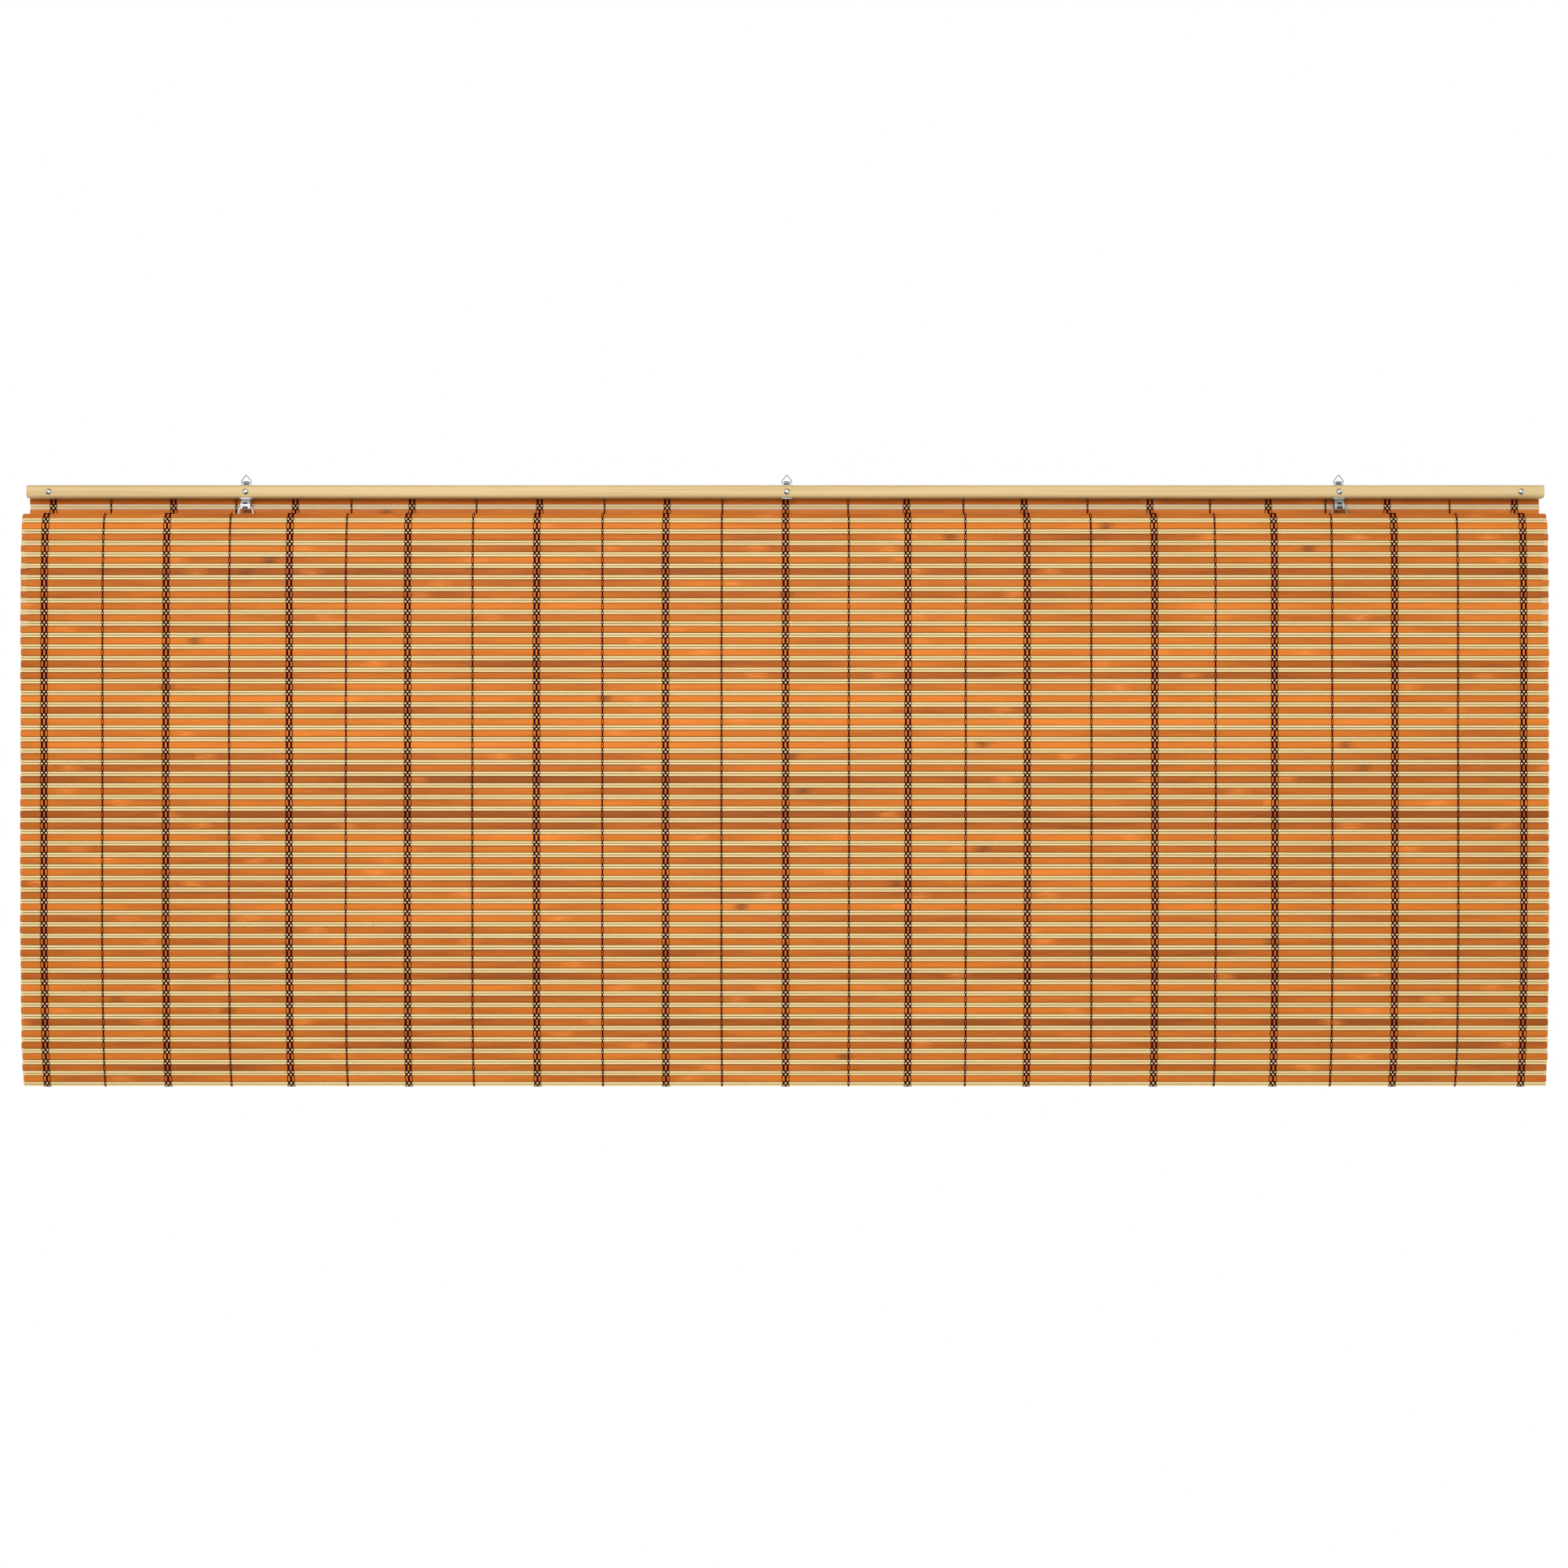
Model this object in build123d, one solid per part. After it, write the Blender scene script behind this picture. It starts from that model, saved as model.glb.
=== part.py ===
from build123d import *

import math
import os

# Bamboo roll up blind, drawn up so that most of its mat lies in a long flattened roll.
# Millimetres. X runs to the right, Y to the back and Z up, and the front faces -Y.
# The origin is the place where a hook bears in the wire hanger at the middle of the rail.

# Head rail
RAIL_LENGTH = 1500.0
RAIL_MIDDLE_X = -1.5
RAIL_FRONT_Y = -5.3
RAIL_DEPTH = 17.3
RAIL_TOP_Z = -9.3
RAIL_HEIGHT = 12.6
RAIL_EDGE_ROUND = 4.0
BACK_EDGE_CHAMFER = 0.6
REAR_BATTEN_DEPTH = 5.0

# Fittings and screws along the rail
FITTING_X = {"left": -535.0, "centre": 0.0, "right": 546.0}
END_SCREW_X = (-729.5, 725.5)
SCREW_BELOW_RAIL_TOP = 6.8
SCREW_HEAD_RADIUS = 2.8
SCREW_HEAD_HEIGHT = 1.9
SCREW_SHANK_RADIUS = 1.4
SCREW_HOLE_RADIUS = 1.5
SCREW_LENGTH = 23.6
SCREW_SIDES = 12

# Woven mat
MAT_LENGTH = 1500.0
MAT_MIDDLE_X = -2.15
SLAT_PITCH = 6.456
SLAT_THICKNESS = 1.6
SLAT_EDGE = 0.35
REED_DIAMETER = 2.3
REED_PITCH = 2.45
GAP_DEPTH = 0.35
REED_GAP_DEPTH = 0.6
PLAIN_SLAT_DEPTH = 0.7
LARGEST_BEND = 4.5
WALK_STEP = 0.25

# Warps
BRAID_X = (-728.8, -609.4, -488.4, -372.3, -245.6, -119.0, -1.2,
           119.0, 236.0, 361.0, 478.8, 596.6, 723.2)
STRING_X = (-671.6, -547.3, -432.8, -308.5, -181.1, -64.1,
            60.9, 175.5, 298.9, 420.7, 535.3, 658.7)
BRAID_WIDTH = 7.4
STRING_WIDTH = 1.1
WARP_THICKNESS = 0.5

# Course of the mat. A station is how far it lies in front of the hanging part, its height above
# the underside of the roll, and the heading: 0 down, 90 forwards, 180 up and 270 backwards.
ROLL_UNDERSIDE_Z = -603.2
MAT_HEAD = (0.0, 594.0, 0)
BACK_OF_ROLL = ((0.0, 238.2, 0), (2.65, 118.2, 2.5), (7.4, 50.0, 7), (16.2, 10.9, 22))
FOOT_OF_ROLL = ((22.8, 0.8, 87),)
FRONT_OF_ROLL = ((26.2, 8.9, 162), (32.4, 39.9, 173.5), (37.0, 111.8, 177.4), (39.7, 271.2, 180),
                 (38.6, 424.0, 181.2), (35.8, 508.0, 183.2), (33.0, 545.2, 188), (30.5, 558.2, 198))
TOP_OF_ROLL = ((26.1, 564.2, 253), (21.6, 558.7, 346))
SECOND_TURN = ((13.2, 498.0, 354), (8.7, 408.0, 358.5), (7.7, 278.0, 360.5), (9.8, 118.0, 362),
               (14.4, 31.0, 368), (19.1, 20.8, 450))
MAT_TAIL = ((23.4, 30.0, 532), (28.6, 73.0, 535.5), (32.3, 168.0, 538.5), (33.9, 278.0, 540),
            (33.1, 388.0, 540.8), (32.3, 448.0, 541))
TOP_SLAT_FOOT = 559.8
ROLL_STARTS_AT = 240.0
BOTTOM_BATTEN_HEIGHT = 22.0
BOTTOM_BATTEN_DEPTH = 5.0

# Sheet steel and wire
PLATE_THICKNESS = 1.2
PLATE_HALF_WIDTH = 4.0
TONGUE_HALF_WIDTH = 2.7
SHOULDER_HALF_WIDTH = 5.2
SHOULDER_HEIGHT = 0.8
TAB_HALF_WIDTH = 3.0
BARREL_Z = -7.0
BARREL_RADIUS = 1.7
WIRE_RADIUS = 0.45
WIRE_FIT = 0.07
WIRE_SIDES = 8
BEND_CHORDS = 3
SLOT_PLAY = 0.05
HANGER_HALF_WIDTH = 6.0
HANGER_CORNER_Z = 1.3
HANGER_APEX_ROUND = 1.2
HANGER_CORNER_ROUND = 1.1
HANGER_END_X = 1.0

# Pulley housings under the rail
FOOT_HALF_WIDTH = 6.45
FOOT_FRONT_Y = -2.5
FOOT_BACK_Y = 6.0
FOOT_THICKNESS = 1.0
FOOT_CORNER = 1.2
CHEEK_TOP_HALF = 4.1
CHEEK_HALF = 4.7
CHEEK_NECK_Z = -24.0
CHEEK_FULL_Z = -27.0
HOUSING_FOOT_Z = -33.2
HOUSING_FRONT_Y = -6.5
HOUSING_BACK_Y = 5.0
SHEET = 0.8
WINDOW_HALF = 2.7
WINDOW_TOP_Z = -26.6
PIN_Y = -2.6
PIN_Z = -29.6
PIN_RADIUS = 0.9
PIN_SIDES = 12
PIN_PROUD = 0.4
PULLEY_RADIUS = 2.7
GROOVE_DEPTH = 0.5
GROOVE_HALF = 2.5
PULLEY_HALF = 3.3
PIN_FIT = 0.06

# Wire bail, which hangs from the lower front corners of a housing
BAIL_Y = -3.4
BAIL_Z = -31.8
BAIL_RADIUS = 0.75
BAIL_END_X = 3.6
BAIL_SHOULDER_X = 5.9
BAIL_HALF = 7.1
BAIL_ARCH_Z = -36.0
BAIL_FOOT_Z = -45.5

RAIL_BACK_Y = RAIL_FRONT_Y + RAIL_DEPTH
RAIL_FOOT_Z = RAIL_TOP_Z - RAIL_HEIGHT
SCREW_Z = RAIL_TOP_Z - SCREW_BELOW_RAIL_TOP
REED_RADIUS = REED_DIAMETER / 2
MAT_Y = RAIL_BACK_Y + REED_RADIUS
BATTEN_FRONT_Y = MAT_Y + REED_RADIUS
SCREW_X = (END_SCREW_X[0], *FITTING_X.values(), END_SCREW_X[1])


def box_between(low, high):
    """A box from its lowest to its highest corner."""
    size = [b - a for a, b in zip(low, high)]
    middle = [(a + b) / 2 for a, b in zip(low, high)]
    return Pos(*middle) * Box(*size)


def rod_x(radius, x0, x1, y, z):
    """A round bar that lies along X."""
    return Pos((x0 + x1) / 2, y, z) * Rot(0, 90, 0) * Cylinder(radius, x1 - x0)


def rod_y(radius, x, y0, y1, z):
    """A round bar that lies along Y."""
    return Pos(x, (y0 + y1) / 2, z) * Rot(90, 0, 0) * Cylinder(radius, y1 - y0)


def bar_x(radius, x0, x1, y, z):
    """A many-sided bar that lies along X: a riveted pin, or the hole for one."""
    section = Plane(origin=(x0, y, z), z_dir=(1, 0, 0)) * RegularPolygon(radius, PIN_SIDES)
    return extrude(section, x1 - x0)


def bar_y(radius, x, y0, y1, z):
    """A many-sided bar that lies along Y: the shank of a screw, or the hole for one."""
    section = Plane(origin=(x, y1, z), z_dir=(0, -1, 0)) * RegularPolygon(radius, SCREW_SIDES)
    return extrude(section, y1 - y0)


def wire(points, rounds, radius):
    """A bent wire of eight-sided section: straight runs, with each round bend in a few chords."""
    places = [Vector(points[0])]
    for run in FilletPolyline(*points, radius=rounds).edges():
        chords = 1 if run.geom_type == GeomType.LINE else BEND_CHORDS
        places += [run @ (i / chords) for i in range(1, chords + 1)]
    route = Polyline(*places)
    section = Plane(origin=route @ 0, z_dir=route % 0) * RegularPolygon(radius, WIRE_SIDES)
    return sweep(section, path=route, transition=Transition.RIGHT)


# Course of the mat

def direction(heading):
    """The unit step forwards and up for a heading in degrees."""
    angle = math.radians(heading)
    return math.sin(angle), -math.cos(angle)


def bend(start, end):
    """Points of the even bend between two stations, WALK_STEP apart or less."""
    chord = math.dist(start[:2], end[:2])
    turn = math.radians(end[2] - start[2])
    handle = chord / 3
    if abs(turn) > 0.01:
        handle = chord * 2 / 3 * math.tan(turn / 4) / math.sin(turn / 2)
    leave = direction(start[2])
    arrive = direction(end[2])
    steps = math.ceil(1.2 * chord / WALK_STEP)
    points = []
    for i in range(1, steps + 1):
        t = i / steps
        weights = ((1 - t) ** 3, 3 * t * (1 - t) ** 2, 3 * t * t * (1 - t), t ** 3)
        points.append(tuple(
            weights[0] * start[k] + weights[1] * (start[k] + handle * leave[k])
            + weights[2] * (end[k] - handle * arrive[k]) + weights[3] * end[k] for k in (0, 1)))
    return points


def course():
    """The whole course of the mat as close points, each its distance forwards and its height."""
    stations = (MAT_HEAD, *BACK_OF_ROLL, *FOOT_OF_ROLL, *FRONT_OF_ROLL, *TOP_OF_ROLL,
                *SECOND_TURN, *MAT_TAIL)
    points = [MAT_HEAD[:2]]
    for start, end in zip(stations, stations[1:]):
        points += bend(start, end)
    return points


def walk(points, kinds):
    """Steps along the points, one chord for each strip, as (place, kind of strip passed)."""
    widths = {"slat": SLAT_PITCH, "reed": REED_PITCH}
    here = points[0]
    steps = []
    previous = here
    for point in points[1:]:
        kind = kinds[len(steps) % 3]
        reach = math.dist(here, point)
        if reach >= widths[kind]:
            back = math.dist(here, previous)
            share = (widths[kind] - back) / (reach - back)
            here = tuple(a + (b - a) * share for a, b in zip(previous, point))
            steps.append((here, kind))
        previous = point
    return steps


def strips():
    """The edges between all strips, and the kind of the strip that follows each edge."""
    points = course()
    rising = [i for i in range(1, len(points)) if points[i - 1][1] < TOP_SLAT_FOOT <= points[i][1]]
    anchor = rising[0]
    back = walk(points[anchor::-1], ("reed", "reed", "slat"))
    on = walk(points[anchor:], ("slat", "reed", "reed"))
    edges = [place for place, kind in reversed(back)] + [points[anchor]] + [place for place, kind in on]
    kinds = [kind for place, kind in reversed(back)] + [kind for place, kind in on]
    return edges, kinds


def heading_between(a, b):
    """The heading in degrees from one place to the next."""
    return math.degrees(math.atan2(b[0] - a[0], a[1] - b[1]))


def set_in_line(edges):
    """The edges with each gentle stretch drawn straight, and the numbers of those where it bends."""
    keys = [0, ROLL_EDGE]
    for i in range(ROLL_EDGE + 1, len(edges) - 1):
        last = heading_between(edges[keys[-1]], edges[keys[-1] + 1])
        now = heading_between(edges[i], edges[i + 1])
        if abs((now - last + 180) % 360 - 180) > LARGEST_BEND:
            keys.append(i)
    keys.append(len(edges) - 1)
    straight = list(edges)
    for first, last in zip(keys, keys[1:]):
        run = math.dist(edges[first], edges[last])
        for i in range(first + 1, last):
            share = math.dist(edges[first], edges[i]) / run
            straight[i] = tuple(a + (b - a) * share for a, b in zip(edges[first], edges[last]))
    return straight, keys


def edge_below(height, edges):
    """The first edge of the hanging mat below a height."""
    return next(i for i, place in enumerate(edges) if place[1] < height)


EDGES, KINDS = strips()
ROLL_EDGE = edge_below(ROLL_STARTS_AT, EDGES)
EDGES, BENDS = set_in_line(EDGES)


def outward(i):
    """The direction off strip i towards the outside of the roll."""
    run = math.dist(EDGES[i], EDGES[i + 1])
    ahead = [(b - a) / run for a, b in zip(EDGES[i], EDGES[i + 1])]
    return ahead[1], -ahead[0]


def mitre(i):
    """The step that keeps both strips beside edge i one unit thick."""
    before = outward(max(i - 1, 0))
    after = outward(min(i, len(EDGES) - 2))
    share = 1 + before[0] * after[0] + before[1] * after[1]
    return tuple((a + b) / share for a, b in zip(before, after))


def off_edge(i, depth):
    """A place beside edge i, depth off the middle of the mat."""
    return tuple(a + depth * b for a, b in zip(EDGES[i], mitre(i)))


def off_strip(i, share, depth):
    """A place beside strip i, at a share of its width and depth off its middle."""
    along = (a + (b - a) * share for a, b in zip(EDGES[i], EDGES[i + 1]))
    return tuple(a + depth * b for a, b in zip(along, outward(i)))


def ridged_side(first, last, side):
    """One face of the mat with every slat and every reed, from edge first to edge last."""
    points = []
    for i in range(first, last):
        both_reeds = i > 0 and KINDS[i - 1] == "reed" and KINDS[i] == "reed"
        points.append(off_edge(i, side * (REED_GAP_DEPTH if both_reeds else GAP_DEPTH)))
        if KINDS[i] == "slat":
            inset = SLAT_EDGE / SLAT_PITCH
            points.append(off_strip(i, inset, side * SLAT_THICKNESS / 2))
            points.append(off_strip(i, 1 - inset, side * SLAT_THICKNESS / 2))
        else:
            points.append(off_strip(i, 0.5, side * REED_RADIUS))
    points.append(off_edge(last, side * GAP_DEPTH))
    return points


def plain_side(first, last, side):
    """The face of the mat behind the rail, with one ridge for each pair of reeds."""
    points = [off_edge(first, side * GAP_DEPTH)]
    for i in range(first + 1, last):
        both_reeds = KINDS[i - 1] == "reed" and KINDS[i] == "reed"
        if both_reeds:
            points.append(off_edge(i, side * REED_RADIUS))
        else:
            points.append(off_edge(i, side * PLAIN_SLAT_DEPTH))
    points.append(off_edge(last, side * GAP_DEPTH))
    return points


def smooth_side(first, last, side):
    """One face of the mat inside the roll, drawn level with the crests of its reeds."""
    turning = [i for i in BENDS if first < i < last]
    return [off_edge(i, side * REED_RADIUS) for i in (first, *turning, last)]


def in_frame(place, x):
    """A place of the mat's course in the frame of the blind."""
    return x, MAT_Y - place[0], ROLL_UNDERSIDE_Z + place[1]


def wall(outline, x0, x1):
    """A wall between two sections of one outline."""
    section = Face(Wire.make_polygon([in_frame(place, x0) for place in outline], close=True))
    return Solid.extrude(section, Vector(x1 - x0, 0, 0))


def edge_after_top():
    """The first edge after the mat has turned over the top of the roll."""
    passed = next(i for i, place in enumerate(EDGES) if place[0] > 20 and place[1] > TOP_SLAT_FOOT)
    return next(i for i in range(passed, len(EDGES)) if EDGES[i][0] < TOP_OF_ROLL[-1][0])


TOP_EDGE = edge_after_top()
LAST_EDGE = len(EDGES) - 1
MAT_X0 = MAT_MIDDLE_X - MAT_LENGTH / 2
MAT_X1 = MAT_MIDDLE_X + MAT_LENGTH / 2


def hanging_mat():
    """The part of the mat that still hangs flat behind the rail."""
    outline = ridged_side(0, ROLL_EDGE, 1) + plain_side(0, ROLL_EDGE, -1)[::-1]
    return wall(outline, MAT_X0, MAT_X1)


def rolled_mat():
    """The flattened roll: its outer turn, its second turn and the tail of the mat."""
    outside = ridged_side(ROLL_EDGE, TOP_EDGE, 1) + smooth_side(TOP_EDGE, LAST_EDGE, 1)
    inside = smooth_side(ROLL_EDGE, LAST_EDGE, -1)
    return wall(outside + inside[::-1], MAT_X0, MAT_X1)


def warp_set(places, width):
    """Warps of one width: on the outside from the rail round to the top, and on the face that hangs."""
    head = RAIL_FOOT_Z - ROLL_UNDERSIDE_Z
    low = REED_RADIUS
    high = REED_RADIUS + WARP_THICKNESS
    route = [*(i for i in BENDS if 0 < i < TOP_EDGE), TOP_EDGE]
    outer = [(-high, head)] + [off_edge(i, high) for i in route]
    inner = [(-low, head)] + [off_edge(i, low) for i in route]
    face = [(low, head), off_edge(ROLL_EDGE, -low), off_edge(ROLL_EDGE, -high), (high, head)]
    warps = []
    for x in places:
        warps.append(wall(outer + inner[::-1], x - width / 2, x + width / 2))
        warps.append(wall(face, x - width / 2, x + width / 2))
    return Compound(children=warps)


def bottom_batten():
    """The batten at the free end of the mat, in the heart of the roll, flat against its last strips."""
    last = LAST_EDGE
    ahead = direction(heading_between(EDGES[last - 1], EDGES[last]))
    top = off_edge(last, -REED_RADIUS)
    deep = off_edge(last, -REED_RADIUS - BOTTOM_BATTEN_DEPTH)
    outline = [top, deep]
    outline += [tuple(a - BOTTOM_BATTEN_HEIGHT * b for a, b in zip(place, ahead)) for place in (deep, top)]
    return wall(outline, MAT_X0, MAT_X1)


# Rail

def head_rail():
    """The planed batten at the front, with a slot for each hanger plate and a hole for each screw."""
    x0 = RAIL_MIDDLE_X - RAIL_LENGTH / 2
    rail = box_between((x0, RAIL_FRONT_Y, RAIL_FOOT_Z), (x0 + RAIL_LENGTH, RAIL_BACK_Y, RAIL_TOP_Z))
    long_edges = rail.edges().filter_by(Axis.X).group_by(Axis.Y)
    rail = fillet(long_edges[0], RAIL_EDGE_ROUND)
    rail = chamfer(rail.edges().filter_by(Axis.X).group_by(Axis.Y)[-1], BACK_EDGE_CHAMFER)
    half_width = PLATE_HALF_WIDTH + SLOT_PLAY
    half_depth = PLATE_THICKNESS / 2 + SLOT_PLAY
    for x in FITTING_X.values():
        rail -= box_between((x - half_width, -half_depth, RAIL_FOOT_Z - 1),
                            (x + half_width, half_depth, RAIL_TOP_Z + 1))
    for x in SCREW_X:
        rail -= bar_y(SCREW_HOLE_RADIUS, x, RAIL_FRONT_Y - 1, RAIL_BACK_Y + 1, SCREW_Z)
    return rail


def rear_batten():
    """The batten behind, which clamps the head of the mat against the rail."""
    x0 = RAIL_MIDDLE_X - RAIL_LENGTH / 2
    batten = box_between((x0, BATTEN_FRONT_Y, RAIL_FOOT_Z),
                         (x0 + RAIL_LENGTH, BATTEN_FRONT_Y + REAR_BATTEN_DEPTH, RAIL_TOP_Z))
    return chamfer(batten.edges().filter_by(Axis.X).group_by(Axis.Y)[-1], BACK_EDGE_CHAMFER)


def rail_screw(x):
    """A round-headed screw, whose shank reaches through the rail and the mat into the rear batten."""
    dome = ((0, 1), (0.6, 0.86), (1, 0.4))
    rings = [Plane(origin=(x, RAIL_FRONT_Y - rise * SCREW_HEAD_HEIGHT, SCREW_Z), z_dir=(0, -1, 0))
             * RegularPolygon(share * SCREW_HEAD_RADIUS, SCREW_SIDES) for rise, share in dome]
    shank = bar_y(SCREW_SHANK_RADIUS, x, RAIL_FRONT_Y, RAIL_FRONT_Y + SCREW_LENGTH, SCREW_Z)
    return loft(rings, ruled=True) + shank


# Fittings

def hanger_plate(x):
    """The steel plate in the rail: rolled into a barrel on top, with shoulders that rest on the rail."""
    half = PLATE_THICKNESS / 2
    tongue_foot = RAIL_TOP_Z + SHOULDER_HEIGHT
    foot = RAIL_FOOT_Z - FOOT_THICKNESS
    tongue = box_between((-TONGUE_HALF_WIDTH, -half, tongue_foot), (TONGUE_HALF_WIDTH, half, BARREL_Z))
    shoulder = box_between((-SHOULDER_HALF_WIDTH, -half, RAIL_TOP_Z),
                           (SHOULDER_HALF_WIDTH, half, tongue_foot))
    body = box_between((-PLATE_HALF_WIDTH, -half, RAIL_FOOT_Z), (PLATE_HALF_WIDTH, half, RAIL_TOP_Z))
    tab = box_between((-TAB_HALF_WIDTH, -half, foot), (TAB_HALF_WIDTH, half, RAIL_FOOT_Z))
    barrel = rod_x(BARREL_RADIUS, -TONGUE_HALF_WIDTH, TONGUE_HALF_WIDTH, 0, BARREL_Z)
    plate = tongue + shoulder + body + tab + barrel
    plate -= rod_x(WIRE_RADIUS + WIRE_FIT, -TONGUE_HALF_WIDTH - 1, TONGUE_HALF_WIDTH + 1, 0, BARREL_Z)
    plate -= bar_y(SCREW_HOLE_RADIUS, 0, -1, 1, SCREW_Z)
    return Pos(x, 0, 0) * plate


def wire_hanger(x):
    """The triangle of wire that a hook carries. Its ends turn in the barrel of the plate."""
    right = [(HANGER_END_X, 0, BARREL_Z), (HANGER_HALF_WIDTH, 0, BARREL_Z)]
    left = [(-px, py, pz) for px, py, pz in reversed(right)]
    rounds = [HANGER_CORNER_ROUND, HANGER_APEX_ROUND, HANGER_CORNER_ROUND]
    return Pos(x, 0, 0) * wire(right + [(0, 0, HANGER_CORNER_Z)] + left, rounds, WIRE_RADIUS)


def foot_plate(x):
    """The flat plate under the rail, through which the tab of the hanger plate is riveted."""
    plate = box_between((-FOOT_HALF_WIDTH, FOOT_FRONT_Y, RAIL_FOOT_Z - FOOT_THICKNESS),
                        (FOOT_HALF_WIDTH, FOOT_BACK_Y, RAIL_FOOT_Z))
    plate = chamfer(plate.edges().filter_by(Axis.Z), FOOT_CORNER)
    plate -= box_between((-TAB_HALF_WIDTH - SLOT_PLAY, -PLATE_THICKNESS / 2 - SLOT_PLAY, RAIL_FOOT_Z - 2),
                         (TAB_HALF_WIDTH + SLOT_PLAY, PLATE_THICKNESS / 2 + SLOT_PLAY, RAIL_FOOT_Z + 1))
    return Pos(x, 0, 0) * plate


def cheek_outline(inset):
    """The housing seen from the front, waisted under the foot plate, inset by the sheet."""
    top = RAIL_FOOT_Z - FOOT_THICKNESS
    right = [(CHEEK_TOP_HALF - inset, top), (CHEEK_TOP_HALF - inset, CHEEK_NECK_Z),
             (CHEEK_HALF - inset, CHEEK_FULL_Z), (CHEEK_HALF - inset, HOUSING_FOOT_Z)]
    return right + [(-px, pz) for px, pz in reversed(right)]


def side_outline(inset):
    """The housing seen from the side, leaning forwards from the foot plate, inset by the sheet."""
    top = RAIL_FOOT_Z - FOOT_THICKNESS
    return [(FOOT_FRONT_Y + inset, top), (HOUSING_FRONT_Y + inset, CHEEK_FULL_Z - 1.0),
            (HOUSING_FRONT_Y + inset, HOUSING_FOOT_Z), (HOUSING_BACK_Y - inset, HOUSING_FOOT_Z),
            (HOUSING_BACK_Y - inset, top)]


def housing_form(inset):
    """The closed form that has both outlines."""
    front = Face(Wire.make_polygon([(px, -10, pz) for px, pz in cheek_outline(inset)], close=True))
    side = Face(Wire.make_polygon([(-10, py, pz) for py, pz in side_outline(inset)], close=True))
    return Solid.extrude(front, Vector(0, 20, 0)) & Solid.extrude(side, Vector(20, 0, 0))


def pulley_housing(x):
    """Folded sheet: foot plate, cheeks and front, with an arched window, open below and behind."""
    top = RAIL_FOOT_Z - FOOT_THICKNESS
    shell = housing_form(0) - housing_form(SHEET)
    arch = rod_y(WINDOW_HALF, 0, HOUSING_FRONT_Y - 1, FOOT_FRONT_Y, WINDOW_TOP_Z - WINDOW_HALF)
    door = box_between((-WINDOW_HALF, HOUSING_FRONT_Y - 1, HOUSING_FOOT_Z - 1),
                       (WINDOW_HALF, FOOT_FRONT_Y, WINDOW_TOP_Z - WINDOW_HALF))
    back = box_between((-CHEEK_TOP_HALF + SHEET, HOUSING_BACK_Y - 2 * SHEET, HOUSING_FOOT_Z - 1),
                       (CHEEK_TOP_HALF - SHEET, HOUSING_BACK_Y + 1, top))
    shell = shell - arch - door - back
    shell -= bar_x(PIN_RADIUS, -CHEEK_HALF - 1, CHEEK_HALF + 1, PIN_Y, PIN_Z)
    shell -= rod_x(BAIL_RADIUS + WIRE_FIT, -CHEEK_HALF - 1, CHEEK_HALF + 1, BAIL_Y, BAIL_Z)
    return foot_plate(x) + Pos(x, 0, 0) * shell


def pulley_pin(x):
    """The pin riveted through both cheeks."""
    return bar_x(PIN_RADIUS, x - CHEEK_HALF - PIN_PROUD, x + CHEEK_HALF + PIN_PROUD, PIN_Y, PIN_Z)


def pulley(x):
    """The grooved pulley that turns on the pin."""
    roller = rod_x(PULLEY_RADIUS, -PULLEY_HALF, PULLEY_HALF, PIN_Y, PIN_Z)
    groove = rod_x(PULLEY_RADIUS + 1, -GROOVE_HALF, GROOVE_HALF, PIN_Y, PIN_Z)
    groove -= rod_x(PULLEY_RADIUS - GROOVE_DEPTH, -GROOVE_HALF, GROOVE_HALF, PIN_Y, PIN_Z)
    bore = rod_x(PIN_RADIUS + PIN_FIT, -PULLEY_HALF, PULLEY_HALF, PIN_Y, PIN_Z)
    return Pos(x, 0, 0) * (roller - groove - bore)


def cord_bail(x):
    """The wire loop under a housing, which gathers the cords. Its ends turn in the cheeks."""
    right = [(BAIL_END_X, BAIL_Y, BAIL_Z), (BAIL_SHOULDER_X, BAIL_Y, BAIL_Z),
             (BAIL_HALF, BAIL_Y, BAIL_ARCH_Z), (BAIL_HALF, BAIL_Y, BAIL_FOOT_Z)]
    left = [(-px, py, pz) for px, py, pz in reversed(right)]
    return Pos(x, 0, 0) * wire(right + left, [1.3, 3.0, 3.0, 3.0, 3.0, 1.3], BAIL_RADIUS)


def save(name, shape):
    """Write one sub-part."""
    export_step(shape, f"parts/{name}.step")


os.makedirs("parts", exist_ok=True)
save("head_rail", head_rail())
save("rear_batten", rear_batten())
save("hanging_mat", hanging_mat())
save("rolled_mat", rolled_mat())
save("bottom_batten", bottom_batten())
save("braided_warps", warp_set(BRAID_X, BRAID_WIDTH))
save("single_warps", warp_set(STRING_X, STRING_WIDTH))
save("rail_screws", Compound(children=[rail_screw(x) for x in SCREW_X]))
for name, x in FITTING_X.items():
    save(f"hanger_plate_{name}", hanger_plate(x))
    save(f"wire_hanger_{name}", wire_hanger(x))
save("foot_plate_centre", foot_plate(FITTING_X["centre"]))
for name in ("left", "right"):
    x = FITTING_X[name]
    save(f"pulley_housing_{name}", pulley_housing(x))
    save(f"pulley_pin_{name}", pulley_pin(x))
    save(f"pulley_{name}", pulley(x))
    save(f"cord_bail_{name}", cord_bail(x))
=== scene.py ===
import math
import random

import bmesh
import bpy
from mathutils import Matrix, Vector


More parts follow.
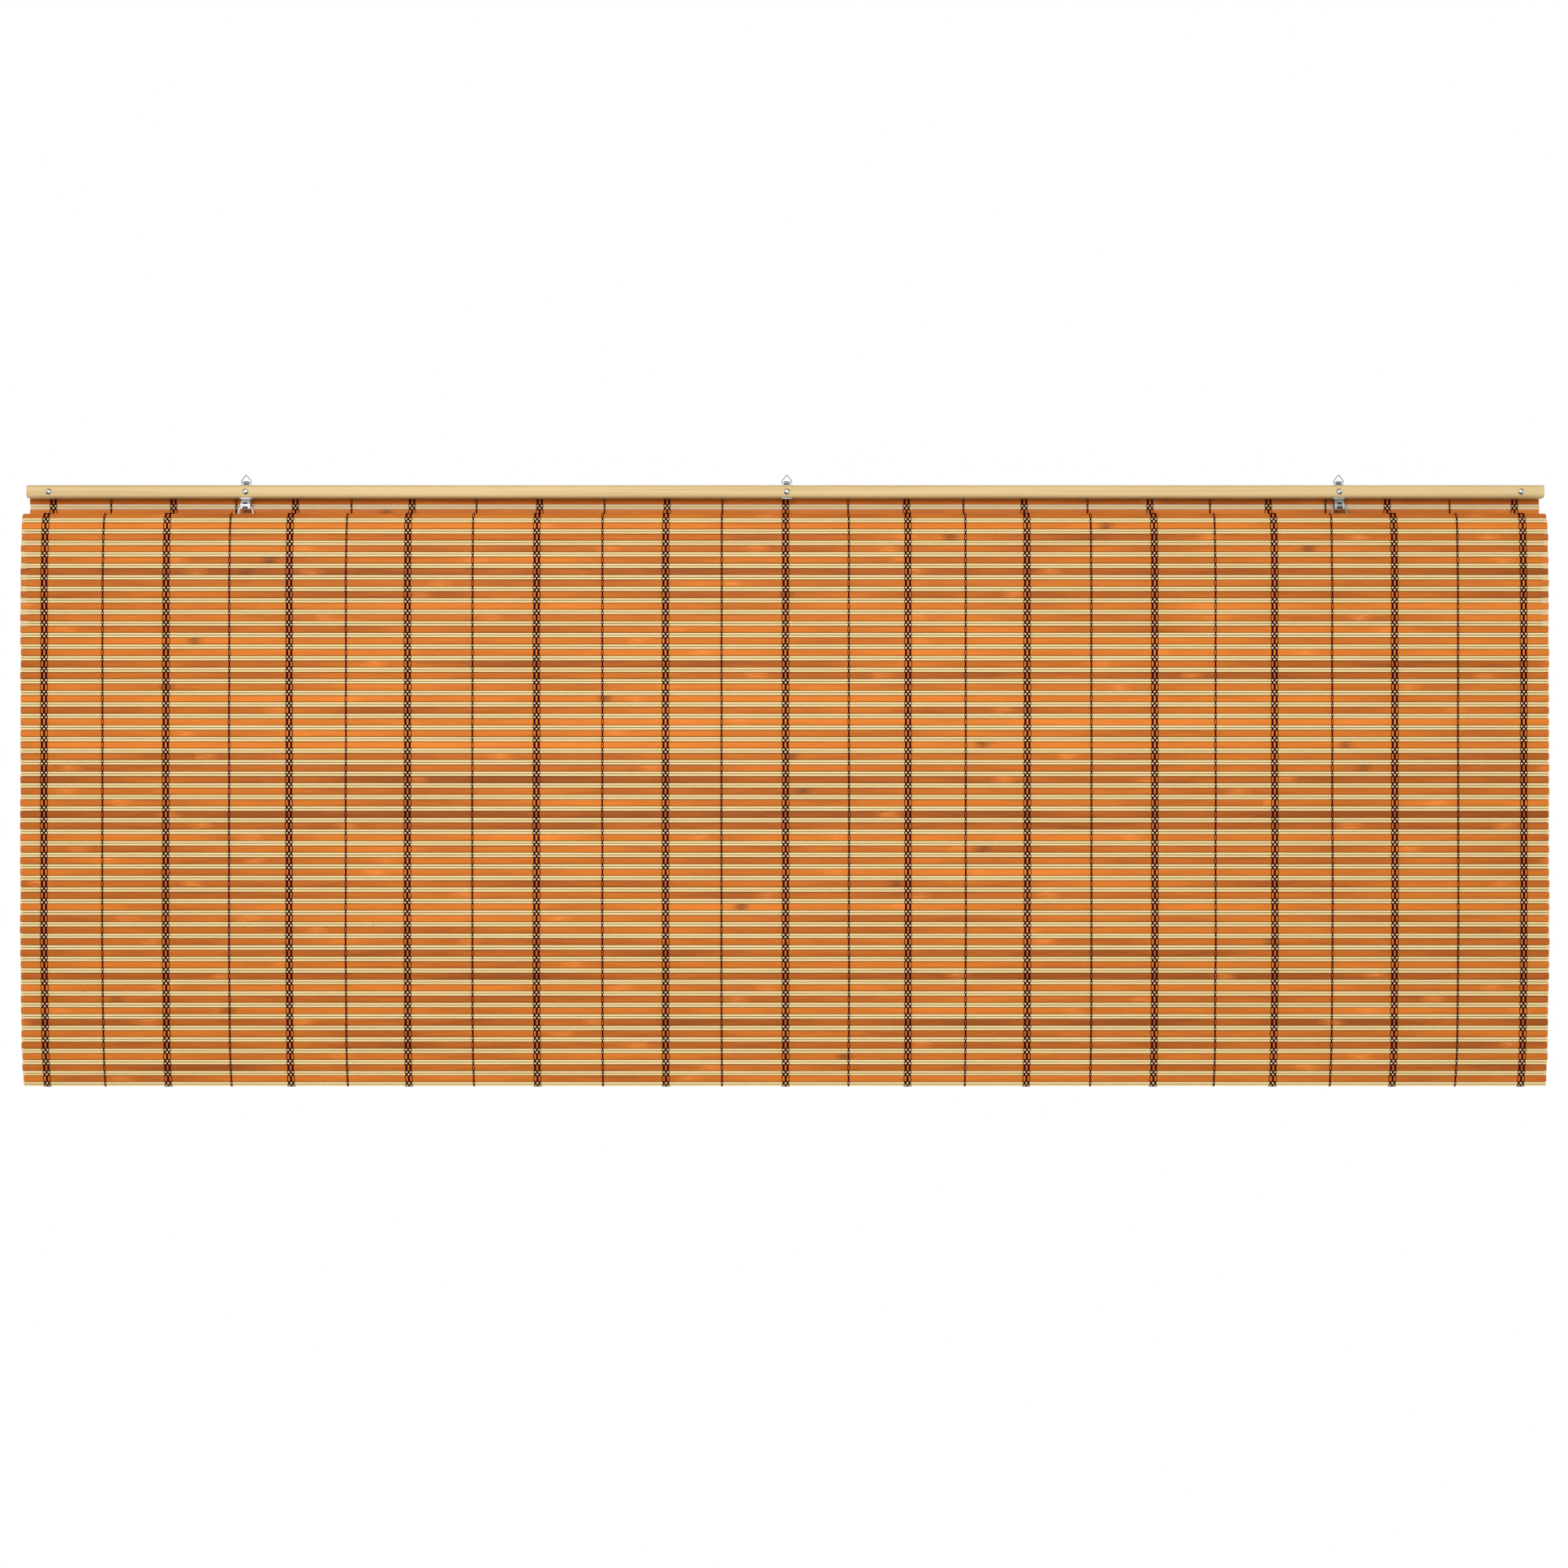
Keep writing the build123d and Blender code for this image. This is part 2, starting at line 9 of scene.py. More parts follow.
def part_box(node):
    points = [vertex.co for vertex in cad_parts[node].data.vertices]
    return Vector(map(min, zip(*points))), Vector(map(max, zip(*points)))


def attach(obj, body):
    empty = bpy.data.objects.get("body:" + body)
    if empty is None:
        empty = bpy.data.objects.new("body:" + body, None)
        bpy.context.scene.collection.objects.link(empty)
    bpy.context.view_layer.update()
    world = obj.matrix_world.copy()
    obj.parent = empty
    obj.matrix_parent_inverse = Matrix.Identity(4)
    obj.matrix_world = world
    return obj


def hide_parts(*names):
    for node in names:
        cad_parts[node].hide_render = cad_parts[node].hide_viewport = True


# Bamboo roll up blind, drawn up into a long flattened roll. Metres, in the frame of the packed
# part: X to the right, Y to the back, Z up, and the origin where a hook bears in the middle wire
# hanger.

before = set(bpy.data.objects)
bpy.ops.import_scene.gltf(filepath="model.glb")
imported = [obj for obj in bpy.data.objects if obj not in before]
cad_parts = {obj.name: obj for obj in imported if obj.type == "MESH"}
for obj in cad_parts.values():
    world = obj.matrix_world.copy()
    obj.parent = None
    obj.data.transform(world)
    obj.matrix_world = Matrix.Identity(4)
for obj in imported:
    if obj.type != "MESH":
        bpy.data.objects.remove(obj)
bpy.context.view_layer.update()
MM = 0.001

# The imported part's pieces that the weave is set against, in metres
RAIL_LOW, RAIL_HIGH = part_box("head_rail")
MAT_LOW, MAT_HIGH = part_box("hanging_mat")
REED_RADIUS = 1.15 * MM
MAT_Y = RAIL_HIGH.y + REED_RADIUS

# Sizes of the weave, as the part has them, in millimetres and degrees
UNDERSIDE_Z = -603.2
SLAT_PITCH = 6.456
REED_PITCH = 2.45
SLAT_THICKNESS = 1.6
WALK_STEP = 0.25
BEND_SPARE = 1.2
LARGEST_BEND = 4.5
TOP_SLAT_FOOT = 559.8
ROLL_STARTS_AT = 240.0
BRAID_X = (-728.8, -609.4, -488.4, -372.3, -245.6, -119.0, -1.2,
           119.0, 236.0, 361.0, 478.8, 596.6, 723.2)
STRING_X = (-671.6, -547.3, -432.8, -308.5, -181.1, -64.1,
            60.9, 175.5, 298.9, 420.7, 535.3, 658.7)

# Stations of the mat's course: millimetres in front of the hanging part and above the roll's
# underside, and the heading in degrees: 0 down, 90 forwards, 180 up and 270 backwards.
STATIONS = (
    (0.0, 594.0, 0), (0.0, 238.2, 0), (2.65, 118.2, 2.5), (7.4, 50.0, 7), (16.2, 10.9, 22),
    (22.8, 0.8, 87),
    (26.2, 8.9, 162), (32.4, 39.9, 173.5), (37.0, 111.8, 177.4), (39.7, 271.2, 180),
    (38.6, 424.0, 181.2), (35.8, 508.0, 183.2), (33.0, 545.2, 188), (30.5, 558.2, 198),
    (26.1, 564.2, 253), (21.6, 558.7, 346),
    (13.2, 498.0, 354), (8.7, 408.0, 358.5), (7.7, 278.0, 360.5), (9.8, 118.0, 362),
    (14.4, 31.0, 368), (19.1, 20.8, 450),
    (23.4, 30.0, 532), (28.6, 73.0, 535.5), (32.3, 168.0, 538.5), (33.9, 278.0, 540),
    (33.1, 388.0, 540.8), (32.3, 448.0, 541))
HAIRPIN_BACK = 21.6
ROLL_FRONT_FROM = 20.0


# Course of the mat

def direction(heading):
    """The unit step forwards and up for a heading in degrees."""
    angle = math.radians(heading)
    return math.sin(angle), -math.cos(angle)


def bend(start, end):
    """Points of the even bend between two stations."""
    chord = math.dist(start[:2], end[:2])
    turn = math.radians(end[2] - start[2])
    handle = chord / 3
    if abs(turn) > 0.01:
        handle = chord * 2 / 3 * math.tan(turn / 4) / math.sin(turn / 2)
    leave = direction(start[2])
    arrive = direction(end[2])
    steps = math.ceil(BEND_SPARE * chord / WALK_STEP)
    points = []
    for i in range(1, steps + 1):
        t = i / steps
        weights = ((1 - t) ** 3, 3 * t * (1 - t) ** 2, 3 * t * t * (1 - t), t ** 3)
        points.append(tuple(
            weights[0] * start[k] + weights[1] * (start[k] + handle * leave[k])
            + weights[2] * (end[k] - handle * arrive[k]) + weights[3] * end[k] for k in (0, 1)))
    return points


def walk(points, kinds):
    """Steps along the points, one chord for each strip, as (place, kind of strip passed)."""
    widths = {"slat": SLAT_PITCH, "reed": REED_PITCH}
    here = points[0]
    steps = []
    previous = here
    for point in points[1:]:
        kind = kinds[len(steps) % 3]
        reach = math.dist(here, point)
        if reach >= widths[kind]:
            back = math.dist(here, previous)
            share = (widths[kind] - back) / (reach - back)
            here = tuple(a + (b - a) * share for a, b in zip(previous, point))
            steps.append((here, kind))
        previous = point
    return steps


def strips():
    """The edges between all strips, and the kind of the strip that follows each edge."""
    points = [STATIONS[0][:2]]
    for start, end in zip(STATIONS, STATIONS[1:]):
        points += bend(start, end)
    rising = [i for i in range(1, len(points)) if points[i - 1][1] < TOP_SLAT_FOOT <= points[i][1]]
    anchor = rising[0]
    back = walk(points[anchor::-1], ("reed", "reed", "slat"))[::-1]
    on = walk(points[anchor:], ("slat", "reed", "reed"))
    edges = [place for place, kind in back] + [points[anchor]] + [place for place, kind in on]
    kinds = [kind for place, kind in back + on]
    return edges, kinds


def heading_between(a, b):
    """The heading in degrees from one place to the next."""
    return math.degrees(math.atan2(b[0] - a[0], a[1] - b[1]))


def edge_below(height, edges):
    """The first edge of the hanging mat below a height."""
    return next(i for i, place in enumerate(edges) if place[1] < height)


def set_in_line(edges, roll_edge):
    """The edges with each gentle stretch drawn straight."""
    keys = [0, roll_edge]
    for i in range(roll_edge + 1, len(edges) - 1):
        last = heading_between(edges[keys[-1]], edges[keys[-1] + 1])
        now = heading_between(edges[i], edges[i + 1])
        if abs((now - last + 180) % 360 - 180) > LARGEST_BEND:
            keys.append(i)
    keys.append(len(edges) - 1)
    straight = list(edges)
    for first, last in zip(keys, keys[1:]):
        run = math.dist(edges[first], edges[last])
        for i in range(first + 1, last):
            share = math.dist(edges[first], edges[i]) / run
            straight[i] = tuple(a + (b - a) * share for a, b in zip(edges[first], edges[last]))
    return straight


EDGES, KINDS = strips()
ROLL_EDGE = edge_below(ROLL_STARTS_AT, EDGES)
RAIL_FOOT = RAIL_LOW.z / MM - UNDERSIDE_Z
FOOT_STRIP = edge_below(RAIL_FOOT, EDGES) - 1
EDGES = set_in_line(EDGES, ROLL_EDGE)
CROWN_EDGE = next(i for i, place in enumerate(EDGES) if place[0] > ROLL_FRONT_FROM
                  and place[1] > TOP_SLAT_FOOT)
TOP_EDGE = next(i for i in range(CROWN_EDGE, len(EDGES)) if EDGES[i][0] < HAIRPIN_BACK)


def in_frame(place, x=0.0):
    """A place of the mat's course, in the frame of the blind."""
    return Vector((x * MM, MAT_Y - place[0] * MM, (UNDERSIDE_Z + place[1]) * MM))


# Small helpers for meshes and trees

def set_material(piece, material):
    """The piece wears this material alone."""
    piece.data.materials.clear()
    piece.data.materials.append(material)
    return piece


def smooth_by_angle(piece, degrees):
    """Rounded faces look round, and edges sharper than the angle stay crisp."""
    mesh = piece.data
    mesh.shade_smooth()
    form = bmesh.new()
    form.from_mesh(mesh)
    limit = math.radians(degrees)
    for edge in form.edges:
        edge.smooth = len(edge.link_faces) == 2 and edge.calc_face_angle() < limit
    form.to_mesh(mesh)
    form.free()
    return piece


def placed(name, data):
    """An object in the scene, at the origin, that holds this mesh, curve, lamp or camera."""
    piece = bpy.data.objects.new(name, data)
    bpy.context.scene.collection.objects.link(piece)
    return piece


def new_mesh(name, points, faces=(), edges=()):
    """A mesh object of points, with the faces or edges between them."""
    mesh = bpy.data.meshes.new(name)
    mesh.from_pydata([tuple(point) for point in points], list(edges), list(faces))
    return placed(name, mesh)


def plain_mesh(piece, name):
    """What a piece with a modifier, or a curve, comes to as a mesh of its own."""
    bpy.context.view_layer.update()
    evaluated = piece.evaluated_get(bpy.context.evaluated_depsgraph_get())
    mesh = bpy.data.meshes.new_from_object(evaluated)
    mesh.name = name
    return mesh


def point_values(piece, name, values):
    """One number for each vertex, which a tree or a material can read."""
    held = piece.data.attributes.new(name, "FLOAT", "POINT")
    held.data.foreach_set("value", list(values))


class Nodes:
    """Nodes that are joined up as they are written."""

    def __init__(self, net):
        self.net = net

    def give(self, socket, value):
        """The socket takes a value, or is joined to another socket."""
        if isinstance(value, bpy.types.NodeSocket):
            self.net.links.new(value, socket)
        else:
            socket.default_value = value

    def node(self, kind, values=None, **settings):
        """A node, with its settings and with its sockets given their values."""
        node = self.net.nodes.new(kind)
        for key, value in settings.items():
            setattr(node, key, value)
        for key, value in (values or {}).items():
            self.give(node.inputs[key], value)
        return node

    def math(self, operation, a, b=0.0):
        """One sum of two numbers."""
        return self.node("ShaderNodeMath", {0: a, 1: b}, operation=operation).outputs[0]

    def vector_math(self, operation, a, b):
        """One sum of two vectors."""
        return self.node("ShaderNodeVectorMath", {0: a, 1: b}, operation=operation).outputs[0]

    def vector(self, x=0.0, y=0.0, z=0.0):
        """A vector of three numbers."""
        return self.node("ShaderNodeCombineXYZ", {"X": x, "Y": y, "Z": z}).outputs[0]

    def parts(self, vector):
        """The three numbers of a vector, by name."""
        return self.node("ShaderNodeSeparateXYZ", {"Vector": vector}).outputs


class Tree(Nodes):
    """A Geometry Nodes tree with named inputs."""

    def __init__(self, name):
        super().__init__(bpy.data.node_groups.new(name, "GeometryNodeTree"))
        self.net.is_modifier = True
        for way in ("INPUT", "OUTPUT"):
            self.net.interface.new_socket("Geometry", in_out=way, socket_type="NodeSocketGeometry")
        self.inputs = self.net.nodes.new("NodeGroupInput")
        self.result = self.net.nodes.new("NodeGroupOutput")

    def input(self, name, kind):
        """A named input of the tree, as the socket that its nodes read."""
        self.net.interface.new_socket(name, in_out="INPUT", socket_type="NodeSocket" + kind)
        return self.inputs.outputs[name]

    def position(self):
        """The place of each point."""
        return self.node("GeometryNodeInputPosition").outputs[0]

    def held(self, name):
        """A number that the mesh holds under this name."""
        values = {"Name": name}
        return self.node("GeometryNodeInputNamedAttribute", values, data_type="FLOAT").outputs[0]

    def ring(self, sides):
        """A circle of radius 1."""
        values = {"Resolution": sides, "Radius": 1.0}
        return self.node("GeometryNodeCurvePrimitiveCircle", values).outputs[0]

    def swept(self, curve, profile, **values):
        """The closed mesh of a profile carried along a curve."""
        values = {"Curve": curve, "Profile Curve": profile, "Fill Caps": True, **values}
        return self.node("GeometryNodeCurveToMesh", values).outputs[0]

    def laid(self, shape, rotation=(0.0, 0.0, 0.0)):
        """The shape at each vertex of the tree's base, turned by its rotation."""
        base = self.inputs.outputs["Geometry"]
        values = {"Points": base, "Instance": shape, "Rotation": rotation}
        return self.node("GeometryNodeInstanceOnPoints", values).outputs[0]

    def real(self, geometry):
        """Copies made into a mesh of their own."""
        return self.node("GeometryNodeRealizeInstances", {"Geometry": geometry}).outputs[0]

    def finish(self, geometry, material):
        """The tree ends by making its copies real and giving them their material."""
        values = {"Geometry": self.real(geometry), "Material": material}
        self.give(self.result.inputs[0], self.node("GeometryNodeSetMaterial", values).outputs[0])


def grown(base, tree, name, **values):
    """The plain mesh that a tree makes of its base, in a piece of its own."""
    modifier = base.modifiers.new("grow", "NODES")
    modifier.node_group = tree.net
    for item in tree.net.interface.items_tree:
        if item.item_type == "SOCKET" and item.in_out == "INPUT" and item.name in values:
            modifier[item.identifier] = values[item.name]
    mesh = plain_mesh(base, name)
    base.modifiers.remove(modifier)
    bpy.data.objects.remove(base)
    return placed(name, mesh)


# Materials

RELIEF = 0.2 * MM


class Paint(Nodes):
    """A material whose shader is joined up node by node."""

    def __init__(self, name, **values):
        self.material = bpy.data.materials.new(name)
        self.material.use_nodes = True
        super().__init__(self.material.node_tree)
        self.shader = self.net.nodes["Principled BSDF"]
        self.set(**values)

    def set(self, **sockets):
        """Give the shader's sockets their values."""
        for key, value in sockets.items():
            self.give(self.shader.inputs[key.replace("_", " ")], value)
        return self

    def object_place(self, scale=(1, 1, 1)):
        """Object coordinates, each stretched by its own scale."""
        place = self.node("ShaderNodeTexCoord").outputs["Object"]
        return self.node("ShaderNodeMapping", {"Vector": place, "Scale": scale}).outputs[0]

    def held(self, name):
        """A number that the mesh holds under this name."""
        return self.node("ShaderNodeAttribute", attribute_name=name).outputs["Fac"]

    def noise(self, vector, detail=2.0, roughness=0.5):
        """Even noise from 0 to 1, as fine as its vector is stretched."""
        values = {"Vector": vector, "Scale": 1.0, "Detail": detail, "Roughness": roughness}
        return self.node("ShaderNodeTexNoise", values).outputs["Fac"]

    def span(self, value, low, high, to_low=0.0, to_high=1.0):
        """The value carried from one range to another, and held inside it."""
        values = {"Value": value, "From Min": low, "From Max": high,
                  "To Min": to_low, "To Max": to_high}
        return self.node("ShaderNodeMapRange", values).outputs[0]

    def ramp(self, value, *stops):
        """A run of colours, each stop its place and its colour, the two ends first."""
        node = self.node("ShaderNodeValToRGB", {"Fac": value})
        elements = node.color_ramp.elements
        for number, (place, colour) in enumerate(stops):
            stop = elements[number] if number < 2 else elements.new(place)
            stop.position = place
            stop.color = colour
        return node.outputs["Color"]

    def mix(self, share, a, b):
        """Two colours mixed."""
        node = self.node("ShaderNodeMix", data_type="RGBA")
        shown = {socket.name: socket for socket in node.inputs if socket.enabled}
        for key, value in (("Factor", share), ("A", a), ("B", b)):
            self.give(shown[key], value)
        return next(socket for socket in node.outputs if socket.enabled)

    def bump(self, height, strength):
        """Fine relief from a height between 0 and 1."""
        values = {"Height": height, "Strength": strength, "Distance": RELIEF}
        return self.set(Normal=self.node("ShaderNodeBump", values).outputs[0])


def rgb(red, green, blue):
    """A colour written as it looks on the screen, from 0 to 255, as the shader's linear one."""
    linear = []
    for value in (red, green, blue):
        share = value / 255
        linear.append(share / 12.92 if share <= 0.04045 else ((share + 0.055) / 1.055) ** 2.4)
    return (*linear, 1.0)


def strip_places(paint, tone, apart):
    """A function that gives stretched places on a strip, unlike those of its neighbours."""
    shift = paint.vector(y=paint.math("MULTIPLY", tone, apart))

    def along(x, z):
        return paint.vector_math("ADD", paint.object_place((x, 0, z)), shift)

    return along


def bamboo_slats():
    """Varnished orange slats: a tone each, long patches, bright flecks, brown knots and painted
    shade along both edges.
    """
    paint = Paint("varnished_bamboo_slat", Roughness=0.5, Specular_IOR_Level=0.12)
    tone = paint.held("tone")
    along = strip_places(paint, tone, 37.0)

    def marks(per_metre, seed, half_length, share):
        """Ragged marks here and there along each slat, in a share of its cells."""
        half = half_length * per_metre
        at = paint.math("MULTIPLY", paint.parts(paint.object_place())["X"], per_metre)
        at = paint.math("ADD", at, paint.math("MULTIPLY", tone, seed))
        cell = paint.node("ShaderNodeTexVoronoi", {"W": at, "Scale": 1.0},
                          voronoi_dimensions="1D").outputs
        ragged = paint.math("MULTIPLY", paint.noise(along(60, 900), 3.0, 0.65), 1.1 * half)
        reach = paint.math("ADD", cell["Distance"], ragged)
        mark = paint.span(reach, 0.7 * half, 1.7 * half, 1.0, 0.0)
        drawn = paint.node("ShaderNodeSeparateColor", {"Color": cell["Color"]}).outputs[0]
        return paint.math("MULTIPLY", mark, paint.math("LESS_THAN", drawn, share))

    patches = paint.span(paint.noise(along(6, 26), 3.0), 0.2, 0.8, -0.36, 0.36)
    streaks = paint.span(paint.noise(along(26, 420), 3.0, 0.6), 0.25, 0.75, -0.13, 0.13)
    share = paint.math("ADD", tone, paint.math("ADD", patches, streaks))
    colour = paint.ramp(share, (0.0, rgb(156, 80, 25)), (1.0, rgb(244, 139, 52)),
                        (0.25, rgb(187, 99, 31)), (0.5, rgb(211, 117, 38)),
                        (0.75, rgb(231, 130, 43)))
    grain = paint.noise(along(11, 1700), 2.0, 0.6)
    colour = paint.mix(paint.span(grain, 0.4, 0.75, 0.0, 0.2), colour, rgb(166, 84, 26))
    speckle = paint.span(paint.noise(along(60, 1300), 2.0, 0.65), 0.42, 0.64)
    flecks = marks(per_metre=7, seed=811.0, half_length=0.013, share=0.22)
    flecks = paint.math("MULTIPLY", flecks, paint.span(speckle, 0, 1, 0.15, 0.7))
    colour = paint.mix(flecks, colour, rgb(255, 150, 66))
    knots = marks(per_metre=3, seed=977.0, half_length=0.009, share=0.1)
    knots = paint.math("MULTIPLY", knots, paint.span(speckle, 0, 1, 0.75, 0.3))
    colour = paint.mix(knots, colour, rgb(112, 60, 26))
    # Painted shade: each slat is darkened along both edges, where the gaps between strips lie in
    # shade.
    across = paint.math("ABSOLUTE", paint.held("across"))
    colour = paint.mix(paint.span(across, 0.86, 0.98, 0.0, 0.6), colour, rgb(104, 50, 16))
    return paint.bump(grain, 0.2).set(Base_Color=colour).material


def bamboo_reeds():
    """Bare pale reeds: fine grain, a hairline node here and there and painted shade down each
    side.
    """
    paint = Paint("pale_bamboo_reed", Roughness=0.6, Specular_IOR_Level=0.2)
    tone = paint.held("tone")
    along = strip_places(paint, tone, 53.0)
    patches = paint.math("MULTIPLY", paint.noise(along(7, 20), 3.0), 0.65)
    share = paint.math("ADD", paint.math("MULTIPLY", tone, 0.35), patches)
    colour = paint.ramp(share, (0.1, rgb(234, 204, 143)), (0.85, rgb(253, 234, 182)),
                        (0.5, rgb(246, 221, 161)))
    grain = paint.noise(along(16, 3200), 2.0, 0.6)
    colour = paint.mix(paint.span(grain, 0.45, 0.8, 0.0, 0.16), colour, rgb(214, 184, 128))
    node_line = paint.span(paint.noise(along(260, 420), 1.0), 0.78, 0.84)
    colour = paint.mix(paint.math("MULTIPLY", node_line, 0.5), colour, rgb(140, 128, 100))
    # Painted shade: each reed is darkened down both sides, where it rounds away from the light and
    # meets its neighbours.
    across = paint.math("ABSOLUTE", paint.held("across"))
    colour = paint.mix(paint.span(across, 0.62, 0.98, 0.0, 0.75), colour, rgb(150, 116, 64))
    return paint.bump(grain, 0.2).set(Base_Color=colour).material


def warp_thread():
    """Dark wine-red twisted thread."""
    paint = Paint("wine_red_thread", Roughness=0.95, Specular_IOR_Level=0.03)
    twist = paint.noise(paint.object_place((900, 900, 2600)), 2.0, 0.6)
    colour = paint.mix(paint.span(twist, 0.3, 0.7), rgb(34, 2, 8), rgb(76, 8, 18))
    return paint.bump(twist, 0.5).set(Base_Color=colour).material


def rail_wood(name, light, middle, dark):
    """Planed and lacquered pale wood with its grain along the batten."""
    paint = Paint(name, Roughness=0.5, Specular_IOR_Level=0.25)
    long_grain = paint.noise(paint.object_place((3.5, 160, 260)), 3.0, 0.55)
    fine_grain = paint.noise(paint.object_place((12, 1400, 1900)), 2.0, 0.6)
    blotch = paint.noise(paint.object_place((16, 10, 60)))
    colour = paint.ramp(long_grain, (0.25, dark), (0.8, light), (0.5, middle))
    colour = paint.mix(paint.span(fine_grain, 0.4, 0.75, 0.0, 0.22), colour, dark)
    colour = paint.mix(paint.span(blotch, 0.66, 0.78, 0.0, 0.3), colour, dark)
    return paint.bump(fine_grain, 0.15).set(Base_Color=colour).material


def plated_steel(name, colour, roughness, uneven):
    """Plated sheet or wire, a little uneven in its gloss."""
    paint = Paint(name, Metallic=1.0)
    cloud = paint.noise(paint.object_place((220, 220, 220)), 3.0, 0.6)
    dull = tuple(0.55 * part for part in colour[:3]) + (1.0,)
    tint = paint.mix(paint.span(cloud, 0.3, 0.75, 0.0, uneven), colour, dull)
    gloss = paint.span(cloud, 0.3, 0.75, roughness, roughness + 0.12)
    return paint.bump(cloud, 0.08).set(Base_Color=tint, Roughness=gloss).material


def screw_steel():
    """Polished steel, coloured by the painted reflection over each screw head's dome and the
    painted shade in its recess.
    """
    paint = Paint("polished_screw_steel", Metallic=1.0)
    cloud = paint.noise(paint.object_place((900, 900, 900)), 2.0, 0.6)
    # The shade each vertex holds is painted light: a painted reflection over the dome and painted
    # shade in the recess
    shade = paint.math("ADD", paint.held("shade"), paint.span(cloud, 0.3, 0.7, -0.06, 0.06))
    colour = paint.ramp(shade, (0.0, rgb(16, 16, 20)), (1.0, rgb(236, 238, 244)),
                        (0.5, rgb(124, 128, 136)))
    gloss = paint.span(cloud, 0.3, 0.7, 0.3, 0.4)
    return paint.set(Base_Color=colour, Roughness=gloss).material


SLAT_PAINT = bamboo_slats()
REED_PAINT = bamboo_reeds()
THREAD = warp_thread()
RAIL_PAINT = rail_wood("lacquered_rail_wood",
                       rgb(232, 206, 154), rgb(224, 197, 143), rgb(208, 180, 125))
BATTEN_PAINT = rail_wood("plain_batten_wood",
                         rgb(232, 203, 150), rgb(221, 190, 134), rgb(198, 165, 110))
# The left fittings and the right ones are one plated steel: painted lighter on the left, as if
# lit, and darker on the right, as if in shade
ZINC_PAINTED_LIT = plated_steel("bright_zinc_sheet", rgb(176, 179, 186), 0.5, 0.35)
PULLEY_PAINTED_LIT = plated_steel("bright_turned_pulley", rgb(232, 233, 238), 0.44, 0.2)
ZINC_PAINTED_SHADED = plated_steel("dull_zinc_sheet", rgb(150, 152, 156), 0.46, 0.45)
DARK_ZINC = plated_steel("dark_zinc_plate", rgb(126, 128, 132), 0.42, 0.5)
HANGER_STEEL = plated_steel("drawn_hanger_wire", rgb(124, 126, 130), 0.36, 0.5)
# The two bails are one wire: the left painted lighter, as if lit, and the right painted darker, as
# if in shade
BAIL_STEEL = {"left": plated_steel("bright_bail_wire", rgb(212, 210, 206), 0.44, 0.25),
              "right": plated_steel("dull_bail_wire", rgb(142, 132, 124), 0.4, 0.45)}
SCREW_STEEL = screw_steel()


# Woven strips

# How the strips are drawn, with lengths in millimetres. A fullness of 2 is a circle, and more is
# flatter with rounded edges. The tones run from 0, dark, to 1, light.
SLAT_HALF_WIDTH = 3.14
SLAT_SIDES = 20
SLAT_FULLNESS = 3.2
REED_SIDES = 8
STRIP_RUNS = 14
SLAT_WANDER = 0.3
REED_WANDER = 0.35
END_PLAY = 0.35
TONE_MIDDLE, TONE_SPREAD = 0.44, 0.17
TONE_LOW, TONE_HIGH = 0.04, 0.96
TONE_SEEDS = {"hanging_slats": 896, "hanging_reeds": 5, "rolled_slats": 11408, "rolled_reeds": 7}


def slat_section(tree):
    """The section of a slat, 1 in half width and half depth: flat, with rounded edges."""
    place = tree.position()
    parts = tree.parts(place)
    sizes = [tree.math("ABSOLUTE", parts[axis]) for axis in "XY"]
    powers = [tree.math("POWER", size, SLAT_FULLNESS) for size in sizes]
    reach = tree.math("POWER", tree.math("ADD", *powers), -1 / SLAT_FULLNESS)
    spread = tree.node("ShaderNodeVectorMath", {0: place, "Scale": reach},
                       operation="SCALE").outputs[0]
    values = {"Geometry": tree.ring(SLAT_SIDES), "Position": spread}
    return tree.node("GeometryNodeSetPosition", values).outputs[0]


